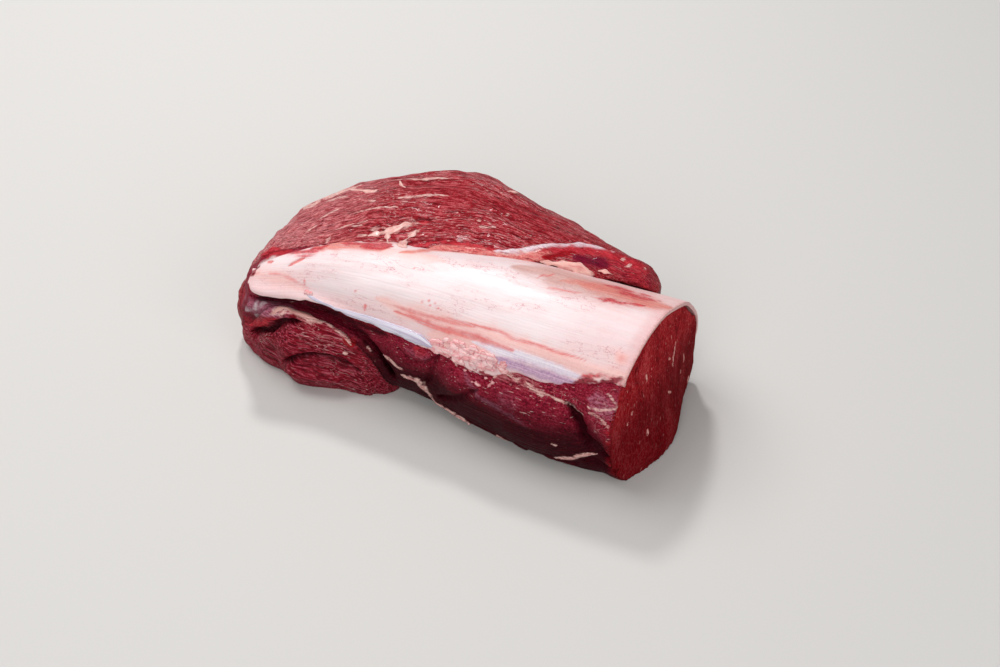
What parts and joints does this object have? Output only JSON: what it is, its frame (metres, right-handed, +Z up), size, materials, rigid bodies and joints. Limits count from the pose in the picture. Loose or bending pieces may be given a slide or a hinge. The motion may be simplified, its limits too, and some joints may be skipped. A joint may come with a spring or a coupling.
{
  "type": "raw chateaubriand",
  "caption": "Raw beef chateaubriand: the thick head end of a tenderloin, cut across at one end, with a flat side muscle, a small near lobe and pale silverskin along its top.",
  "frame": {"origin": "on the board, under the middle of the meat's bounding box", "axes": "+X along the meat towards its cut face, -Y towards the near side with the lobe, +Z up"},
  "size_m": [0.2128, 0.1432, 0.0695],
  "materials": {
    "flesh": "moist raw beef, dark red, with fine lengthwise fibres and thin pale fat",
    "silverskin": "moist pale connective tissue with a soft shine"
  },
  "bodies": {
    "root": {"meat": "flesh", "silverskin": "silverskin"}
  },
  "joints": []
}
